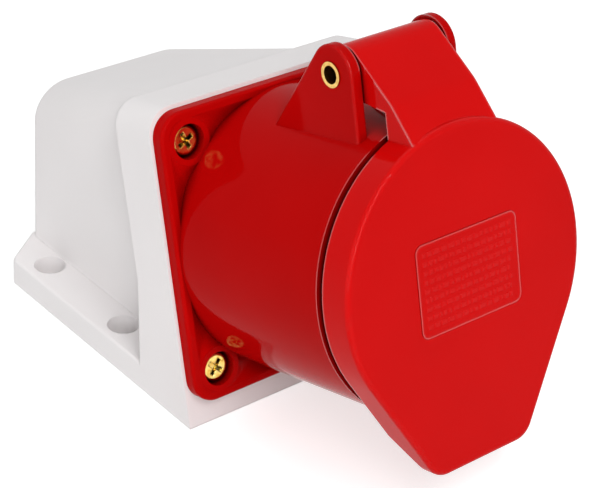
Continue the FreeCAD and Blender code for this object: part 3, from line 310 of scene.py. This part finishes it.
FINISHES = {
    "wall_box": WHITE,
    "socket_housing": RED_BODY,
    "lid": RED_LID,
    "flange_gasket": BLACK_RUBBER,
    "lid_gasket": BLACK_RUBBER,
    "gland_seal": BLACK_RUBBER,
    "flange_screws": YELLOW_ZINC,
    "hinge_pin": PIN_BRASS,
    "lid_spring": SPRING,
    "contact_rings": SPRING,
    "contact_carrier": BLACK_INSERT,
    "carrier_cover": GREY_COVER,
    "contact_earth": CONTACT_BRASS,
    "contact_l1": CONTACT_BRASS,
    "contact_l2": CONTACT_BRASS,
    "contact_l3": CONTACT_BRASS,
    "contact_neutral": CONTACT_BRASS,
    "terminal_screws": STEEL,
    "carrier_screws": STEEL,
    "cover_screw": STEEL,
    "gland_washer": WASHER,
    "gland_nut": GREY_GLAND,
}
for name, finish in FINISHES.items():
    slots = nodes[name].data.materials
    slots.clear()
    slots.append(finish)


# Pieces and blocks for the scene's own forms, in the socket's millimetres

SUNK = 0.05  # how far a form reaches into what carries it


def add_piece(name, mesh_maker, finish, body):
    """One closed mesh in world metres, made in a bmesh, with its finish and what carries it."""
    mesh = bpy.data.meshes.new(name)
    made = bmesh.new()
    mesh_maker(made)
    bmesh.ops.recalc_face_normals(made, faces=made.faces)
    made.to_mesh(mesh)
    made.free()
    mesh.materials.append(finish)
    piece = add_object(name, mesh)
    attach(piece, body)


def rectangle(x0, x1, v0, v1, s):
    """The corners of a rectangle that faces along the socket's axis."""
    return [(x0, v0, s), (x1, v0, s), (x1, v1, s), (x0, v1, s)]


def add_block(made, low_corners, high_corners):
    """A closed block between two rings of corners."""
    low = [made.verts.new(socket_point(*corner)) for corner in low_corners]
    high = [made.verts.new(socket_point(*corner)) for corner in high_corners]
    made.faces.new(high)
    made.faces.new(list(reversed(low)))
    for i in range(len(low)):
        j = (i + 1) % len(low)
        made.faces.new([low[i], low[j], high[j], high[i]])


# Dished corners of the flange

FLANGE_INSIDE = 35.0
FLANGE_FLOOR = 2.2
FLANGE_TOP = 3.6
RIM_HEIGHT = FLANGE_TOP - FLANGE_FLOOR
CORNER_INSIDE = 4.3
SCREW_PLACE = 29.3
SCREW_RING = 5.9
SLEEVE_RADIUS = 36.25
HIDDEN = 0.8  # how far a dish runs on under rim, ring and sleeve
SKIN = 0.02  # what a dish keeps from the floor and from the rim's top
DISH_START = 9.0
DISH_WIDTH = 27
DISH_CELL = 0.4
DISH_REACH = 5.0


def depth_inside_rim(x, v):
    """How far a point lies inside the rim's inner edge, negative under the rim."""
    straight = FLANGE_INSIDE - CORNER_INSIDE
    over_x, over_v = max(x - straight, 0), max(v - straight, 0)
    if over_x and over_v:
        return CORNER_INSIDE - math.hypot(over_x, over_v)
    return FLANGE_INSIDE - max(x, v)


def dish_height(x, v):
    """Height of the dished corner over the flange's floor, or None outside it."""
    rim = depth_inside_rim(x, v)
    ring = math.hypot(x - SCREW_PLACE, v - SCREW_PLACE) - SCREW_RING
    if rim < -HIDDEN or ring < -HIDDEN or math.hypot(x, v) < SLEEVE_RADIUS - HIDDEN:
        return None
    near = min(rim, ring)
    if near <= 0:
        return RIM_HEIGHT - SKIN
    rise = RIM_HEIGHT * max(1 - near / DISH_REACH, 0) ** 2
    return min(max(rise, SKIN), RIM_HEIGHT - SKIN)


def fill_dish(made, side_x, side_v):
    """The smooth hollow between rim, screw ring and sleeve in one corner of the flange."""
    count = round(DISH_WIDTH / DISH_CELL)
    tops, lows = {}, {}
    for i in range(count + 1):
        for j in range(count + 1):
            x, v = DISH_START + i * DISH_CELL, DISH_START + j * DISH_CELL
            height = dish_height(x, v)
            if height is not None:
                tops[i, j] = made.verts.new(socket_point(side_x * x, side_v * v, FLANGE_FLOOR + height))
                lows[i, j] = made.verts.new(socket_point(side_x * x, side_v * v, FLANGE_FLOOR - SUNK))
    edges = {}
    for i, j in tops:
        ring = [(i, j), (i + 1, j), (i + 1, j + 1), (i, j + 1)]
        if all(key in tops for key in ring):
            face = made.faces.new([tops[key] for key in ring])
            face.smooth = True
            made.faces.new([lows[key] for key in reversed(ring)])
            for one, other in zip(ring, ring[1:] + ring[:1]):
                edges.setdefault(frozenset((one, other)), []).append((one, other))
    for uses in edges.values():
        if len(uses) == 1:
            one, other = uses[0]
            made.faces.new([tops[other], tops[one], lows[one], lows[other]])
    loose = [vert for vert in made.verts if not vert.link_faces]
    bmesh.ops.delete(made, geom=loose, context="VERTS")


for name, side_x, side_v in (("flange_dish_a", -1, 1), ("flange_dish_b", -1, -1),
                             ("flange_dish_c", 1, 1), ("flange_dish_d", 1, -1)):
    add_piece(name, lambda made: fill_dish(made, side_x, side_v), RED_DISH, "housing")


# Ribs on the lid's panel

PANEL_FACE = 65.5
PANEL_ROWS = 9
PANEL_PITCH = 2.15
PANEL_WIDTH = 27.6
PANEL_GAP = 0.4
RIB_SHORTEST = 0.8
RIB_LONGEST = 2.0
END_MARGIN = 1.0  # no rib starts nearer to the end of its row
RIB_HEIGHT = 0.2
RIB_WIDTH = 1.35
RIB_SLOPE = 0.24
RIB_SEED = 5


def add_rib(made, x0, x1, v):
    """A low rib with sloped sides on the lid's panel."""
    foot = RIB_WIDTH / 2
    crest = foot - RIB_SLOPE
    add_block(made, rectangle(x0, x1, v - foot, v + foot, PANEL_FACE - SUNK),
              rectangle(x0 + RIB_SLOPE, x1 - RIB_SLOPE, v - crest, v + crest, PANEL_FACE + RIB_HEIGHT))


def fill_panel(made):
    """Rows of short plain ribs of uneven length in the place of a rating panel."""
    draw = random.Random(RIB_SEED)
    for row in range(PANEL_ROWS):
        v = (row - (PANEL_ROWS - 1) / 2) * PANEL_PITCH
        x = -PANEL_WIDTH / 2
        while x < PANEL_WIDTH / 2 - END_MARGIN:
            length = min(draw.uniform(RIB_SHORTEST, RIB_LONGEST), PANEL_WIDTH / 2 - x)
            add_rib(made, x, x + length, v)
            x += length + PANEL_GAP


add_piece("panel_ribs", fill_panel, RED_PANEL, "cover_lid")


# Lid spring, in a part that stays and a part that turns with the lid

PIN_UP = 47.9
PIN_OUT = 43.2
WIRE_RADIUS = 0.45
COIL_RADIUS = 3.25
PITCH = 1.15
LID_LEG_ANGLE = 46.0
REAR_LEG_ANGLE = 55.0
FULL_TURNS = 5
COIL_TURN = FULL_TURNS * 360 + LID_LEG_ANGLE + REAR_LEG_ANGLE
COIL_START = -PITCH * COIL_TURN / 720
LID_SHARE = 300  # degrees of the coil that turn with the lid
LID_STEP = 15
REST_STEPS = 110
LID_LEG = 11.5
REAR_LEG = 16.2


def coil_point(turned, along=0.0):
    """A point of the spring's helix, after a turn in degrees, moved along its tangent there."""
    angle = math.radians(LID_LEG_ANGLE - turned)
    up = COIL_RADIUS * math.cos(angle) - along * math.sin(angle)
    out = COIL_RADIUS * math.sin(angle) + along * math.cos(angle)
    return socket_point(COIL_START + PITCH * turned / 360, PIN_UP + up, PIN_OUT + out)


def add_wire(name, points, body):
    """A round wire with closed ends through the points."""
    data = bpy.data.curves.new(name, "CURVE")
    data.dimensions = "3D"
    data.bevel_depth = WIRE_RADIUS * MM
    data.bevel_resolution = 3
    data.use_fill_caps = True
    line = data.splines.new("POLY")
    line.points.add(len(points) - 1)
    for place, point in zip(line.points, points):
        place.co = (*point, 1)
    data.materials.append(SPRING)
    wire = add_object(name, data)
    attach(wire, body)
    return wire


lid_turn = [coil_point(turned) for turned in range(0, LID_SHARE + 1, LID_STEP)]
add_wire("spring_lid_leg", [coil_point(0, LID_LEG)] + lid_turn, "cover_lid")
rest_share = COIL_TURN - LID_SHARE
rest_turn = [coil_point(LID_SHARE + rest_share * step / REST_STEPS) for step in range(REST_STEPS + 1)]
rear_wire = add_wire("spring_coil", rest_turn + [coil_point(COIL_TURN, -REAR_LEG)], "housing")
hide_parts("lid_spring")


# Marks on the insert

CARRIER_FRONT = 49.0
MARK_CIRCLE = 11.6
MARK_HEIGHT = 3.6
MARK_RISE = 0.12
MARKS = (("mark_l1", "L1", 342), ("mark_l2", "L2", 54), ("mark_l3", "L3", 126), ("mark_n", "N", 198))
EARTH_CENTRE = -12.2
# Place up the front, width and height of the stem and of each bar
EARTH_BARS = ((1.1, 0.32, 1.7), (0.0, 2.6, 0.36), (-0.8, 1.7, 0.36), (-1.6, 0.8, 0.36))


def place_on_front(angle, radius, s):
    """A matrix on the insert's front, with X across, Y up the front and Z out of it."""
    turn = math.radians(angle)
    place = socket_point(radius * math.cos(turn), radius * math.sin(turn), s)
    return Matrix.Translation(place) @ Matrix(((1, 0, 0), UP, OUT)).transposed().to_4x4()


def add_mark(name, word, angle):
    """A short word in low relief beside its contact."""
    data = bpy.data.curves.new(name, "FONT")
    data.body = word
    data.size = MARK_HEIGHT * MM
    data.extrude = MARK_RISE * MM
    data.align_x = "CENTER"
    data.align_y = "CENTER"
    data.materials.append(WASHER)
    mark = add_object(name, data)
    mark.matrix_world = place_on_front(angle, MARK_CIRCLE, CARRIER_FRONT)
    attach(mark, "housing")


def fill_earth(made):
    """The earth sign: a stem over three bars that grow shorter."""
    for v, wide, tall in EARTH_BARS:
        outline = (-wide / 2, wide / 2, EARTH_CENTRE + v - tall / 2, EARTH_CENTRE + v + tall / 2)
        add_block(made, rectangle(*outline, CARRIER_FRONT - SUNK),
                  rectangle(*outline, CARRIER_FRONT + MARK_RISE))


for name, word, angle in MARKS:
    add_mark(name, word, angle)
add_piece("mark_earth", fill_earth, WASHER, "housing")


# Stage and light

FLOOR_SIZE = 6
FLOOR_DROP = 0.0002
FLOOR_LIFT = 0.6
STRIP_REACH = 0.9
STRIP_TARGET = Vector((0, -0.08, 0.06))


def seen_directly(tree):
    """One for rays from the eye, a mirror or a glass, zero for rays that light the object."""
    path = tree.nodes.new("ShaderNodeLightPath")
    either = path.outputs["Is Camera Ray"]
    for name in ("Is Glossy Ray", "Is Transmission Ray"):
        join = tree.nodes.new("ShaderNodeMath")
        join.operation = "MAXIMUM"
        tree.links.new(either, join.inputs[0])
        tree.links.new(path.outputs[name], join.inputs[1])
        either = join.outputs["Value"]
    return either


def make_floor():
    """A pale floor that the eye sees as white, apart from the object's shadow."""
    bpy.ops.mesh.primitive_plane_add(size=FLOOR_SIZE, location=(0, 0, -FLOOR_DROP))
    floor = bpy.context.object
    floor.name = "floor"
    made = Nodes("pale_floor")
    drift = made.noise(scale=3, detail=2)
    colour = made.ramp(drift, [(0.3, (0.74, 0.74, 0.74)), (0.7, (0.76, 0.76, 0.76))])
    made.finish(colour, made.span(drift, 0.85, 0.95), Specular_IOR_Level=0.1)
    lift = made.span(seen_directly(made.tree), 0.0, FLOOR_LIFT)
    made.shader.inputs["Emission Color"].default_value = (1, 1, 1, 1)
    made.link(lift, made.shader.inputs["Emission Strength"])
    floor.data.materials.append(made.material)


def make_world(horizon, zenith):
    """A soft studio dome, dimmer at the horizon than overhead, that the eye and mirrors see as white."""
    world = bpy.data.worlds.new("studio")
    bpy.context.scene.world = world
    world.use_nodes = True
    tree = world.node_tree
    background = tree.nodes["Background"]
    background.inputs["Color"].default_value = (1, 1, 1, 1)
    place = tree.nodes.new("ShaderNodeTexCoord")
    split = tree.nodes.new("ShaderNodeSeparateXYZ")
    span = tree.nodes.new("ShaderNodeMapRange")
    span.inputs["To Min"].default_value = horizon
    span.inputs["To Max"].default_value = zenith
    white = tree.nodes.new("ShaderNodeMath")
    white.operation = "MAXIMUM"
    tree.links.new(place.outputs["Generated"], split.inputs["Vector"])
    tree.links.new(split.outputs["Z"], span.inputs["Value"])
    tree.links.new(span.outputs["Result"], white.inputs[0])
    tree.links.new(seen_directly(tree), white.inputs[1])
    tree.links.new(white.outputs["Value"], background.inputs["Strength"])


def area_light(name, place, target, size, power, up=(0, 0, 1)):
    """A rectangular lamp that faces its target, with its sizes in metres and its power in watts."""
    data = bpy.data.lights.new(name, "AREA")
    data.shape = "RECTANGLE"
    data.size, data.size_y = size
    data.energy = power
    light = add_object(name, data)
    back = Vector(place) - Vector(target)
    light.matrix_world = Matrix.Translation(place) @ aim_matrix(back, up)


def strip_light(name, one, other, width, power):
    """A long softbox between two directions, which draws the glints along the edges."""
    middle = (direction(*one) + direction(*other)) / 2 * STRIP_REACH
    run = (direction(*one) - direction(*other)) * STRIP_REACH
    area_light(name, middle + STRIP_TARGET, STRIP_TARGET, (width, run.length), power, run)


make_floor()
make_world(horizon=0.25, zenith=0.55)
area_light("left", place=(-0.85, -0.15, 0.3), target=(0, -0.03, 0.04), size=(0.4, 0.5), power=0.9)
strip_light("key_high", one=(-10, 62), other=(-37, 31), width=0.13, power=3.2)
strip_light("key_low", one=(-37, 31), other=(-40, 6), width=0.10, power=1.4)
area_light("top", place=(0.1, 0.15, 0.9), target=(0, 0, 0.04), size=(0.5, 0.5), power=0.7)

bpy.context.scene.view_settings.view_transform = "Standard"

bpy.context.view_layer.update()
